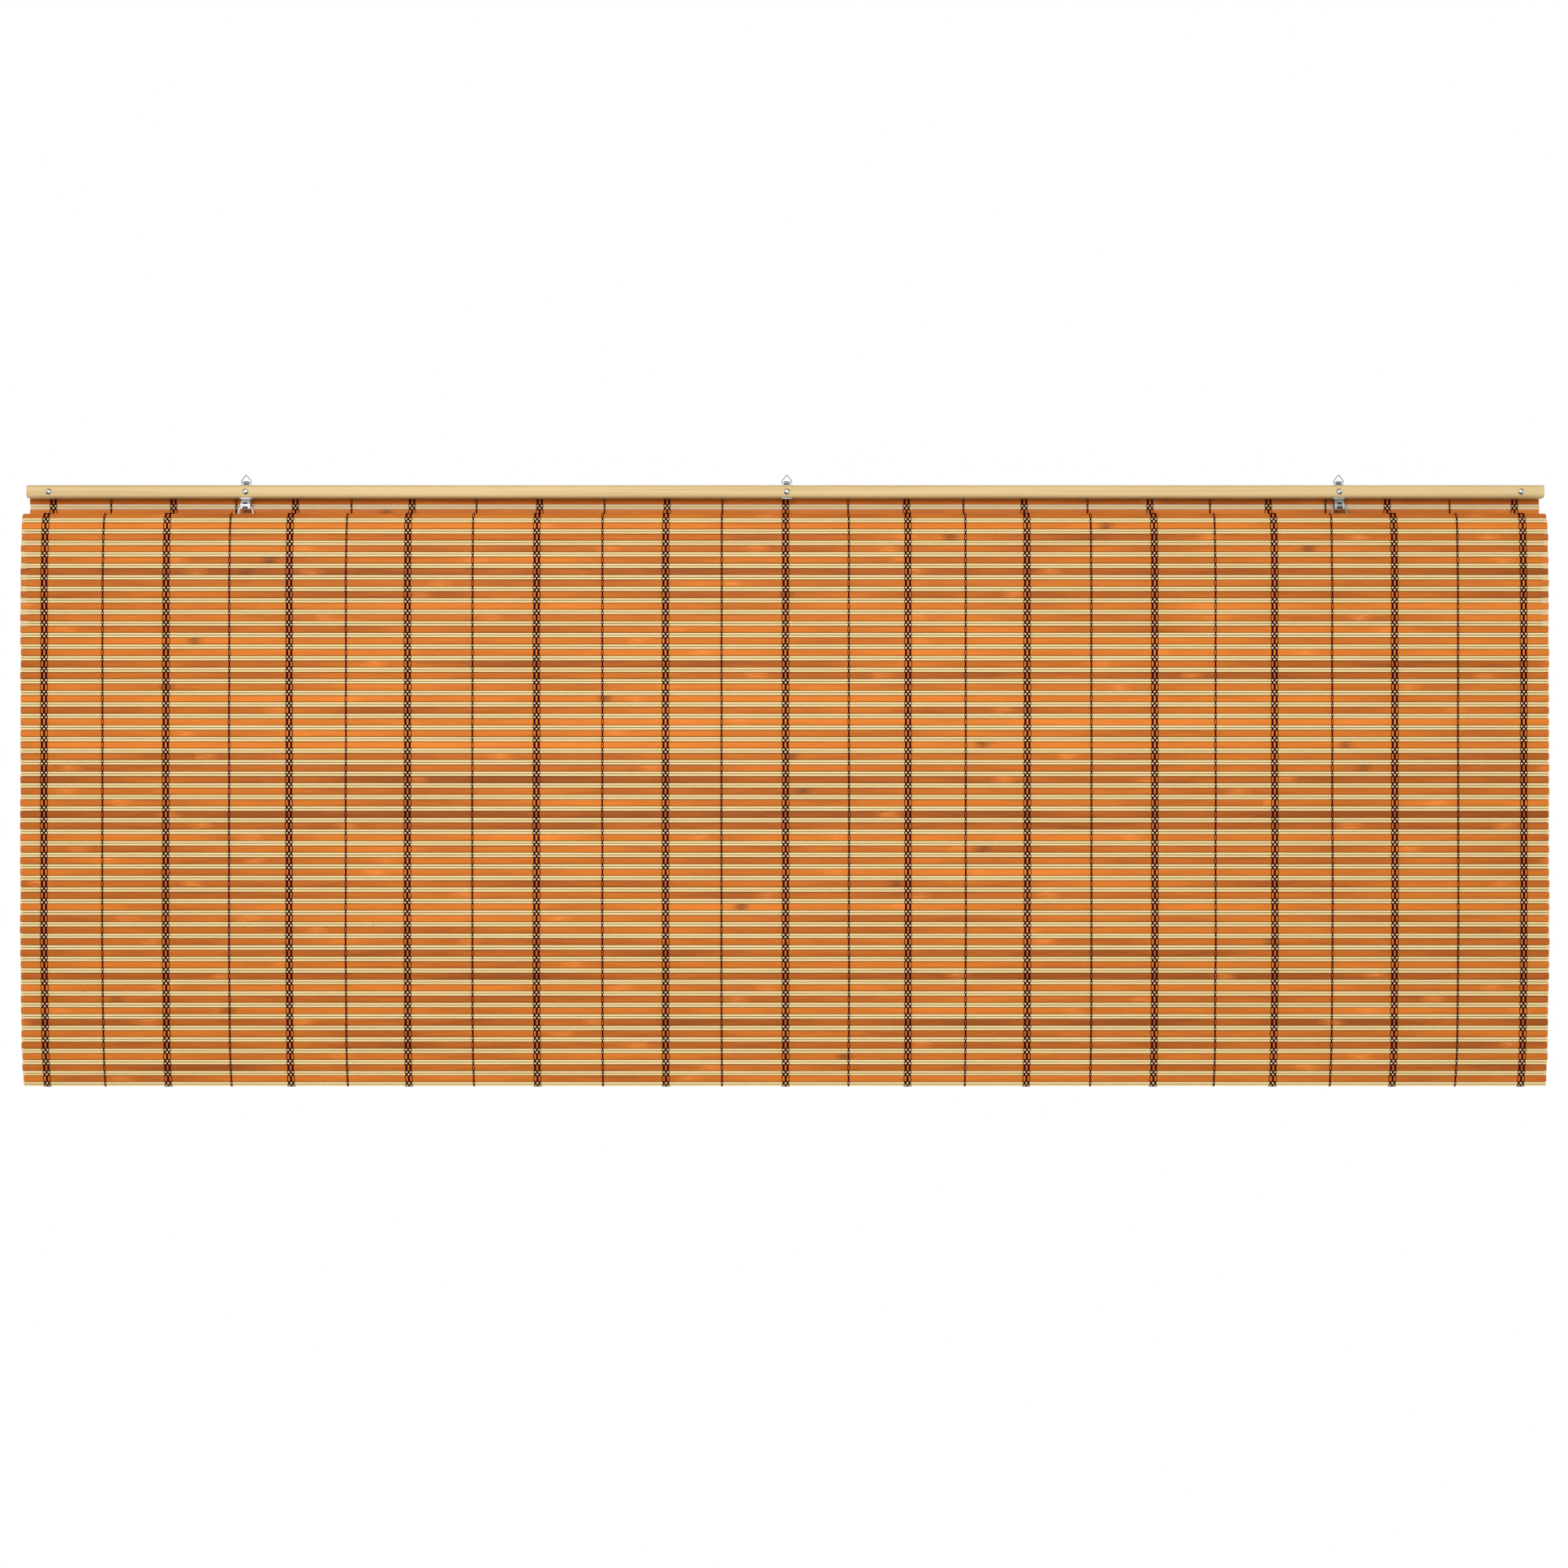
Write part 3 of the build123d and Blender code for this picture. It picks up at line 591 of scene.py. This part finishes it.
def strip_tree(name, section):
    """A tree that lays one strip on each vertex, tilted and toned as the vertex says."""
    tree = Tree(name)
    length = tree.input("Length", "Float")
    runs = tree.input("Runs", "Int")
    half_width = tree.input("Half width", "Float")
    half_depth = tree.input("Half depth", "Float")
    wander = tree.input("Wander", "Float")
    material = tree.input("Material", "Material")
    half = tree.math("MULTIPLY", length, 0.5)
    ends = {"Start": tree.vector(x=tree.math("MULTIPLY", half, -1.0)), "End": tree.vector(x=half)}
    line = tree.node("GeometryNodeCurvePrimitiveLine", ends).outputs[0]
    line = tree.node("GeometryNodeResampleCurve", {"Curve": line, "Count": runs}).outputs[0]
    line = tree.node("GeometryNodeSetCurveNormal", {"Curve": line}, mode="Z_UP").outputs[0]
    place = tree.position()
    parts = tree.parts(place)
    strip = tree.node("GeometryNodeStoreNamedAttribute", {
        "Geometry": tree.swept(line, section(tree)), "Name": "across", "Value": parts["Z"]},
        data_type="FLOAT", domain="POINT").outputs[0]
    sized = tree.vector(parts["X"], tree.math("MULTIPLY", parts["Y"], half_depth),
                        tree.math("MULTIPLY", parts["Z"], half_width))
    strip = tree.node("GeometryNodeSetPosition", {"Geometry": strip, "Position": sized}).outputs[0]
    laid = tree.real(tree.laid(strip, tree.vector(x=tree.held("tilt"))))
    wave = tree.node("ShaderNodeTexNoise", {
        "Vector": tree.vector_math("MULTIPLY", place, (5.0, 0.0, 0.0)),
        "W": tree.math("MULTIPLY", tree.held("tone"), 90.0),
        "Scale": 1.0, "Detail": 1.0}, noise_dimensions="4D").outputs["Color"]
    centred = tree.vector_math("SUBTRACT", wave, (0.5, 0.5, 0.5))
    offset = tree.vector_math("MULTIPLY", centred, tree.vector(y=wander, z=wander))
    bent = tree.node("GeometryNodeSetPosition", {"Geometry": laid, "Offset": offset}).outputs[0]
    tree.finish(bent, material)
    return tree


SLAT_TREE = strip_tree("laid_slats", slat_section)
REED_TREE = strip_tree("laid_reeds", lambda tree: tree.ring(REED_SIDES))


def strips_of(kind, name, first, last):
    """All slats or all reeds between two edges of the mat, as one mesh."""
    chosen = [i for i in range(first, last) if KINDS[i] == kind]
    play = random.Random(TONE_SEEDS[name])
    middle_x = (MAT_LOW.x + MAT_HIGH.x) / 2 / MM
    places = []
    tilts = []
    for i in chosen:
        middle = tuple((a + b) / 2 for a, b in zip(EDGES[i], EDGES[i + 1]))
        places.append(in_frame(middle, middle_x + play.uniform(-END_PLAY, END_PLAY)))
        tilts.append(-math.radians(heading_between(EDGES[i], EDGES[i + 1])))
    tones = [min(max(play.gauss(TONE_MIDDLE, TONE_SPREAD), TONE_LOW), TONE_HIGH) for i in chosen]
    base = new_mesh(name, places)
    point_values(base, "tilt", tilts)
    point_values(base, "tone", tones)
    if kind == "slat":
        tree = SLAT_TREE
        sizes = {"Half width": SLAT_HALF_WIDTH * MM, "Half depth": SLAT_THICKNESS / 2 * MM,
                 "Wander": SLAT_WANDER * MM, "Material": SLAT_PAINT}
    else:
        tree = REED_TREE
        sizes = {"Half width": REED_RADIUS, "Half depth": REED_RADIUS,
                 "Wander": REED_WANDER * MM, "Material": REED_PAINT}
    piece = grown(base, tree, name, Length=MAT_HIGH.x - MAT_LOW.x, Runs=STRIP_RUNS, **sizes)
    smooth_by_angle(piece, degrees=50)
    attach(piece, "blind")
    return piece


hanging_slats = strips_of("slat", "hanging_slats", 0, ROLL_EDGE)
hanging_reeds = strips_of("reed", "hanging_reeds", 0, ROLL_EDGE)
rolled_slats = strips_of("slat", "rolled_slats", ROLL_EDGE, len(EDGES) - 1)
rolled_reeds = strips_of("reed", "rolled_reeds", ROLL_EDGE, len(EDGES) - 1)
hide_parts("hanging_mat")
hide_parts("rolled_mat")


# Warps

# A yarn's place beside the middle of its warp, in millimetres, and its radius: where its pair is
# closed over a strip, where it is open round one, and in the gap between two strips.
BRAID_YARNS = (
    ((-2.62, 0.60), (-3.48, 0.43), (-2.64, 0.68)),
    ((-1.53, 0.58), (-0.50, 0.58), (-1.05, 0.70)),
    ((1.46, 0.56), (0.50, 0.58), (1.00, 0.70)),
    ((2.50, 0.58), (3.34, 0.42), (2.52, 0.66)))
STRING_YARNS = (
    ((-0.34, 0.45), (-0.76, 0.38), (-0.40, 0.50)),
    ((0.34, 0.45), (0.76, 0.38), (0.40, 0.50)))

# Where a yarn is held to a strip, as shares of the way across it, and how far its middle lies off
# the strip's face and off the middle of the mat in a gap. It sinks a little into a reed's crest.
# The yarns of the hanging face end out of sight behind the roll.
SLAT_STOPS = (0.12, 0.88)
REED_STOPS = (0.22, 0.78)
REED_CREST = 0.92
YARN_RISE = 0.12
GAP_RISE = 0.5
BELOW_RAIL = 0.3
SHOWN_BEHIND_ROLL = 150.0
YARN_WANDER = 0.9
BRAID_SIDES = 5
STRING_SIDES = 4
BRAID_GROUPS = ((0, 4), (4, 7), (7, 10), (10, 13))
STRING_GROUPS = ((0, 6), (6, 12))
TOP_SLAT = next(i for i in range(ROLL_EDGE, len(EDGES)) if KINDS[i] == "slat"
                and abs(EDGES[i][1] - TOP_SLAT_FOOT) < 1)


def outward(i):
    """The direction off strip i towards the outside of the roll."""
    run = math.dist(EDGES[i], EDGES[i + 1])
    ahead = [(b - a) / run for a, b in zip(EDGES[i], EDGES[i + 1])]
    return ahead[1], -ahead[0]


def mitre(i):
    """The step that keeps both strips beside edge i one unit thick."""
    before = outward(max(i - 1, 0))
    after = outward(min(i, len(EDGES) - 2))
    share = 1 + before[0] * after[0] + before[1] * after[1]
    return tuple((a + b) / share for a, b in zip(before, after))


def yarn_route(yarn, first, last, side, closed_on_even):
    """The points and radii of one yarn over the strips between two edges, on one face."""
    closed, opened, between = yarn
    points = []
    radii = []

    def stop(place, step, depth, x, radius):
        off = tuple(a + side * depth * b for a, b in zip(place, step))
        points.append(in_frame(off, x))
        radii.append(radius * MM)

    for i in range(first, last):
        slat = KINDS[i] == "slat"
        state = closed if (i - TOP_SLAT) % 2 == (0 if closed_on_even else 1) else opened
        crest = (SLAT_THICKNESS / 2 if slat else REED_CREST * REED_RADIUS / MM) + YARN_RISE
        if i == FOOT_STRIP:
            stop((EDGES[i][0], RAIL_FOOT), outward(i), crest, *state)
        else:
            stop(EDGES[i], mitre(i), GAP_RISE, *between)
        for share in SLAT_STOPS if slat else REED_STOPS:
            place = tuple(a + (b - a) * share for a, b in zip(EDGES[i], EDGES[i + 1]))
            if i != FOOT_STRIP or place[1] < RAIL_FOOT - BELOW_RAIL:
                stop(place, outward(i), crest, *state)
    stop(EDGES[last], mitre(last), GAP_RISE, *between)
    return points, radii


def yarn_tree():
    """A tree that makes round yarns of the routes in an object, and lays them at each vertex."""
    tree = Tree("laid_warps")
    routes = tree.input("Routes", "Object")
    sides = tree.input("Sides", "Int")
    wander = tree.input("Wander", "Float")
    material = tree.input("Material", "Material")
    taken = tree.node("GeometryNodeObjectInfo", {"Object": routes}).outputs["Geometry"]
    curves = tree.node("GeometryNodeMeshToCurve", {"Mesh": taken}).outputs[0]
    yarns = tree.swept(curves, tree.ring(sides), Scale=tree.held("thick"))
    laid = tree.real(tree.laid(yarns))
    lean = tree.node("ShaderNodeTexNoise", {
        "Vector": tree.vector_math("MULTIPLY", tree.position(), (9.0, 0.0, 14.0)),
        "Scale": 1.0, "Detail": 1.0}).outputs[0]
    shift = tree.math("MULTIPLY", tree.math("SUBTRACT", lean, 0.5), wander)
    values = {"Geometry": laid, "Offset": tree.vector(x=shift)}
    tree.finish(tree.node("GeometryNodeSetPosition", values).outputs[0], material)
    return tree


YARN_TREE = yarn_tree()
LAST_SHOWN = edge_below(RAIL_FOOT - SHOWN_BEHIND_ROLL, EDGES)


def warps(name, yarns, middles, sides, closed_on_even):
    """Warps of one kind: over the outside of the mat, and down the face that hangs."""
    points = []
    edges = []
    radii = []
    for last, side, even in ((TOP_EDGE, 1, closed_on_even), (LAST_SHOWN, -1, not closed_on_even)):
        for yarn in yarns:
            route, thick = yarn_route(yarn, FOOT_STRIP, last, side, even)
            edges += [(len(points) + k, len(points) + k + 1) for k in range(len(route) - 1)]
            points += route
            radii += thick
    routes = new_mesh(name + "_routes", points, (), edges)
    point_values(routes, "thick", radii)
    base = new_mesh(name, [(x * MM, 0, 0) for x in middles])
    piece = grown(base, YARN_TREE, name, Routes=routes, Sides=sides, Wander=YARN_WANDER * MM,
                  Material=THREAD)
    bpy.data.objects.remove(routes)
    smooth_by_angle(piece, degrees=80)
    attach(piece, "blind")
    return piece


for number, (start, stop) in enumerate(BRAID_GROUPS, 1):
    piece = warps(f"braids_{number}", BRAID_YARNS, BRAID_X[start:stop], BRAID_SIDES, True)
    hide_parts("braided_warps")
for number, (start, stop) in enumerate(STRING_GROUPS, 1):
    piece = warps(f"strings_{number}", STRING_YARNS, STRING_X[start:stop], STRING_SIDES, False)
    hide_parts("single_warps")


# Wire fittings and screws

def rounded_route(points, rounds):
    """The points of a route whose inner corners are round bends."""
    steps = 8
    route = [Vector(points[0])]
    for before, corner, after, radius in zip(points, points[1:], points[2:], rounds):
        corner = Vector(corner)
        back = (Vector(before) - corner).normalized()
        on = (Vector(after) - corner).normalized()
        half = back.angle(on) / 2
        centre = corner + (back + on).normalized() * radius / math.sin(half)
        start = corner + back * radius / math.tan(half) - centre
        axis = start.cross(corner + on * radius / math.tan(half) - centre).normalized()
        for i in range(steps + 1):
            turned = start.copy()
            turned.rotate(Matrix.Rotation((math.pi - 2 * half) * i / steps, 3, axis))
            route.append(centre + turned)
    route.append(Vector(points[-1]))
    return route


def wire(name, points, rounds, radius, steel, body, node):
    """A round bent wire with closed ends, in place of its CAD node."""
    curve = bpy.data.curves.new(name, "CURVE")
    curve.dimensions = "3D"
    curve.bevel_depth = radius
    curve.bevel_resolution = 3
    curve.use_fill_caps = True
    line = curve.splines.new("POLY")
    route = rounded_route(points, rounds)
    line.points.add(len(route) - 1)
    for point, place in zip(line.points, route):
        point.co = (*place, 1)
    holder = placed(name, curve)
    mesh = plain_mesh(holder, name)
    bpy.data.objects.remove(holder)
    piece = set_material(placed(name, mesh), steel)
    smooth_by_angle(piece, degrees=50)
    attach(piece, body)
    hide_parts(node)
    return piece


def mirrored(x, right):
    """A route the same on both sides of x, in metres, from its right half in millimetres."""
    left = [(-px, py, pz) for px, py, pz in reversed(right)]
    return [((x + px) * MM, py * MM, pz * MM) for px, py, pz in right + left]


FITTING_X = {}
for name in ("left", "centre", "right"):
    hanger_low, hanger_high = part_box(f"wire_hanger_{name}")
    FITTING_X[name] = (hanger_low.x + hanger_high.x) / 2 / MM

# Places and bend radii of the wires, in millimetres, from the middle of their fitting outwards
HANGER_WIRE = 0.45
HANGER_END = 1.0
HANGER_HALF = 6.0
HANGER_APEX_Z = 1.3
HANGER_BENDS = (1.1, 1.2, 1.1)
BARREL_Z = -7.0
BAIL_WIRE = 0.75
BAIL_END = 3.6
BAIL_CORNER = 5.9
BAIL_HALF = 7.1
BAIL_Y = -3.4
BAIL_Z = -31.8
BAIL_SHOULDER_Z = -36.0
BAIL_FOOT_Z = -45.5
BAIL_BENDS = (1.3, 3.0, 3.0, 3.0, 3.0, 1.3)

for name, x in FITTING_X.items():
    right = [(HANGER_END, 0, BARREL_Z), (HANGER_HALF, 0, BARREL_Z), (0, 0, HANGER_APEX_Z)]
    points = mirrored(x, right)
    del points[len(right)]
    wire(f"hanger_wire_{name}", points, [radius * MM for radius in HANGER_BENDS], HANGER_WIRE * MM,
         HANGER_STEEL, f"hanger_{name}", f"wire_hanger_{name}")

for name in ("left", "right"):
    right = [(BAIL_END, BAIL_Y, BAIL_Z), (BAIL_CORNER, BAIL_Y, BAIL_Z),
             (BAIL_HALF, BAIL_Y, BAIL_SHOULDER_Z), (BAIL_HALF, BAIL_Y, BAIL_FOOT_Z)]
    wire(f"bail_wire_{name}", mirrored(FITTING_X[name], right),
         [radius * MM for radius in BAIL_BENDS], BAIL_WIRE * MM,
         BAIL_STEEL[name], f"bail_{name}", f"cord_bail_{name}")


# A screw head and its cross recess, in millimetres, and each screw's turn either way in radians
SCREW_RADIUS = 2.8
SCREW_HEIGHT = 1.9
DOME_POWER = 2.4
SLOT_HALF = 0.28
SLOT_REACH = 1.25
SLOT_DEPTH = 0.6
SLOT_EDGE = 0.04
DOME_RINGS = (0.56, 0.67, 0.77, 0.85, 0.91, 0.96, 0.99, 1.0)
# How light the painted shade in the recess is, from 0, dark, to 1, light
RECESS_SHADE = 0.35
SCREW_TURN = 0.7
SCREW_SEED = 4


def painted_dome_reflection(reach, angle):
    """Painted reflection on a polished dome: dark crescents above and below, and a bright
    highlight ring between.
    """
    up = math.sin(angle)
    crescent_from, rim_from, rim_fade = 0.55, 0.5, 0.25
    dark = max(0.0, abs(up) - crescent_from) / (1 - crescent_from)
    dark *= max(0.0, min(1.0, (reach - rim_from) / rim_fade))
    plain, ring, ring_to = 0.62, 0.4, 0.8
    light = plain + ring * math.sin(math.pi * min(1.0, reach / ring_to)) * (0.75 + 0.25 * up)
    return max(0.0, min(1.0, light - 1.1 * dark))


def cross_angles(reach):
    """Angles round a screw head, one on each side of every edge of its cross at this reach."""
    steps = 6
    inner = math.asin(min(1.0, (SLOT_HALF - SLOT_EDGE) / reach))
    outer = math.asin(min(1.0, (SLOT_HALF + SLOT_EDGE) / reach))
    # Where the cross fills the ring, both stay short of the diagonal
    inner, outer = min(inner, math.radians(38)), min(outer, math.radians(42))
    quarter = [0.0, inner]
    quarter += [outer + (math.pi / 2 - 2 * outer) * k / steps for k in range(steps + 1)]
    quarter.append(math.pi / 2 - inner)
    return [turn * math.pi / 2 + angle for turn in range(4) for angle in quarter]


def screw_head():
    """A domed screw head with a cross recess, its face towards -Y and its middle at the origin."""
    # Rings in the recess, on both sides of its ends, and out over the dome
    reaches = [0.9 * SLOT_HALF, 1.75 * SLOT_HALF, 0.7 * SLOT_REACH,
               SLOT_REACH - SLOT_EDGE, SLOT_REACH + SLOT_EDGE]
    reaches += [SCREW_RADIUS * share for share in DOME_RINGS]
    form = bmesh.new()
    shade = form.verts.layers.float.new("shade")
    grid = []
    for reach in reaches:
        row = []
        for angle in cross_angles(reach):
            x, z = reach * math.cos(angle), reach * math.sin(angle)
            rise = SCREW_HEIGHT * math.sqrt(max(0.0, 1 - (reach / SCREW_RADIUS) ** DOME_POWER))
            recess = min(abs(x), abs(z)) < SLOT_HALF and reach < SLOT_REACH
            if recess:
                rise -= SLOT_DEPTH * (1 - 0.4 * reach / SLOT_REACH)
            vertex = form.verts.new((x * MM, -rise * MM, z * MM))
            # Each vertex holds painted light: painted shade in the recess, and the painted
            # reflection over the dome
            vertex[shade] = RECESS_SHADE if recess else painted_dome_reflection(reach / SCREW_RADIUS, angle)
            row.append(vertex)
        grid.append(row)
    around = len(grid[0])
    middle = form.verts.new((0, (SLOT_DEPTH - SCREW_HEIGHT) * MM, 0))
    middle[shade] = RECESS_SHADE
    back = form.verts.new((0, 0.1 * MM, 0))
    for k in range(around):
        on = (k + 1) % around
        form.faces.new((middle, grid[0][on], grid[0][k]))
        for inner, outer in zip(grid, grid[1:]):
            form.faces.new((inner[k], inner[on], outer[on], outer[k]))
        form.faces.new((back, grid[-1][k], grid[-1][on]))
    bmesh.ops.recalc_face_normals(form, faces=form.faces)
    mesh = bpy.data.meshes.new("screw_head")
    form.to_mesh(mesh)
    form.free()
    return placed("screw_head", mesh)


def screw_tree():
    """A tree that sets one screw on each vertex, each turned its own way."""
    tree = Tree("set_screws")
    head = tree.input("Screw", "Object")
    seed = tree.input("Seed", "Int")
    material = tree.input("Material", "Material")
    shape = tree.node("GeometryNodeObjectInfo", {"Object": head}).outputs["Geometry"]
    turn = tree.node("FunctionNodeRandomValue", {"Seed": seed}, data_type="FLOAT").outputs[1]
    turn = tree.math("SUBTRACT", tree.math("MULTIPLY", turn, 2 * SCREW_TURN), SCREW_TURN)
    tree.finish(tree.laid(shape, tree.vector(y=turn)), material)
    return tree


END_SCREWS_X = (-729.5, 725.5)
SCREW_X = (END_SCREWS_X[0], *FITTING_X.values(), END_SCREWS_X[1])
screw_low, screw_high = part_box("rail_screws")
screw_z = (screw_low.z + screw_high.z) / 2
head = screw_head()
base = new_mesh("screws", [(x * MM, RAIL_LOW.y, screw_z) for x in SCREW_X])
screws = grown(base, screw_tree(), "screws", Screw=head, Seed=SCREW_SEED, Material=SCREW_STEEL)
bpy.data.objects.remove(head)
smooth_by_angle(screws, degrees=35)
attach(screws, "blind")
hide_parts("rail_screws")


# Finishes of the CAD pieces that stay as they are

FINISHES = {
    "head_rail": RAIL_PAINT, "rear_batten": BATTEN_PAINT, "bottom_batten": BATTEN_PAINT,
    # The left housing, pin and pulley wear the painted lit steel, and the right ones the painted
    # shaded steel
    "pulley_housing_left": ZINC_PAINTED_LIT, "pulley_housing_right": ZINC_PAINTED_SHADED,
    "pulley_pin_left": ZINC_PAINTED_LIT, "pulley_pin_right": ZINC_PAINTED_SHADED,
    "pulley_left": PULLEY_PAINTED_LIT, "pulley_right": ZINC_PAINTED_SHADED}
for name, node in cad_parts.items():
    if not node.hide_render:
        set_material(node, FINISHES.get(name, DARK_ZINC))


# Camera, light and backdrop

CAMERA = (-2.8 * MM, -2892 * MM, -305 * MM)
FOCAL_PIXELS = 3600
PIXELS = 1932
SENSOR = 36.0
AIM = (0, 0, -0.3)
LAMPS = {  # place, size in metres and watts
    "key": ((-0.5, -3.0, 0.75), 0.8, 48),
    "fill": ((0.9, -2.8, 0.2), 1.6, 12),
    "back": ((0.3, 2.2, 0.9), 1.8, 22),
    "left": ((-3.2, 0.2, 0.3), 1.6, 12),
    "right": ((3.2, 0.2, 0.3), 1.6, 12)}
WORLD_LIGHT = 0.34
FLOOR_HALF = 6.0
FLOOR_Z = -1.25
FLOOR_GREY = 0.9


def add_camera():
    """The camera of the photograph: level, straight in front of the blind."""
    camera = bpy.data.cameras.new("camera")
    camera.sensor_width = SENSOR
    camera.lens = FOCAL_PIXELS * SENSOR / PIXELS
    holder = placed("camera", camera)
    holder.location = CAMERA
    holder.rotation_euler = (math.radians(90), 0, 0)
    bpy.context.scene.camera = holder


def add_lamp(name, place, size, watts):
    """A soft square lamp that shines on the blind."""
    lamp = bpy.data.lights.new(name, "AREA")
    lamp.size = size
    lamp.energy = watts
    holder = placed(name, lamp)
    holder.location = place
    holder.rotation_euler = (Vector(AIM) - Vector(place)).to_track_quat("-Z", "Y").to_euler()


def white_to_camera(net, surface, white_kind, output):
    """Camera, gloss and clear rays meet plain white, and all others the surface."""
    nodes = Nodes(net)
    ray = nodes.node("ShaderNodeLightPath").outputs
    glossy = nodes.math("MAXIMUM", ray["Is Glossy Ray"], ray["Is Transmission Ray"])
    seen = nodes.math("MAXIMUM", ray["Is Camera Ray"], glossy)
    white = nodes.node(white_kind, {"Color": (1, 1, 1, 1)}).outputs[0]
    lit = net.nodes[surface].outputs[0]
    mixed = nodes.node("ShaderNodeMixShader", {0: seen, 1: lit, 2: white})
    nodes.give(net.nodes[output].inputs["Surface"], mixed.outputs[0])


def add_surroundings():
    """A white studio: an even world and a pale floor below the blind."""
    world = bpy.data.worlds.new("studio")
    bpy.context.scene.world = world
    world.use_nodes = True
    light = world.node_tree.nodes["Background"].inputs
    light["Strength"].default_value = WORLD_LIGHT
    light["Color"].default_value = (1, 1, 1, 1)
    white_to_camera(world.node_tree, "Background", "ShaderNodeBackground", "World Output")
    corners = [(x * FLOOR_HALF, y * FLOOR_HALF, FLOOR_Z)
               for x, y in ((-1, -1), (1, -1), (1, 1), (-1, 1))]
    floor = new_mesh("floor", corners, [(0, 1, 2, 3)])
    paint = Paint("pale_floor", Base_Color=(FLOOR_GREY, FLOOR_GREY, FLOOR_GREY, 1), Roughness=0.9)
    white_to_camera(paint.net, "Principled BSDF", "ShaderNodeEmission", "Material Output")
    set_material(floor, paint.material)


bpy.context.scene.view_settings.view_transform = "Standard"
add_camera()
add_surroundings()
for name, (place, size, watts) in LAMPS.items():
    add_lamp(name, place, size, watts)
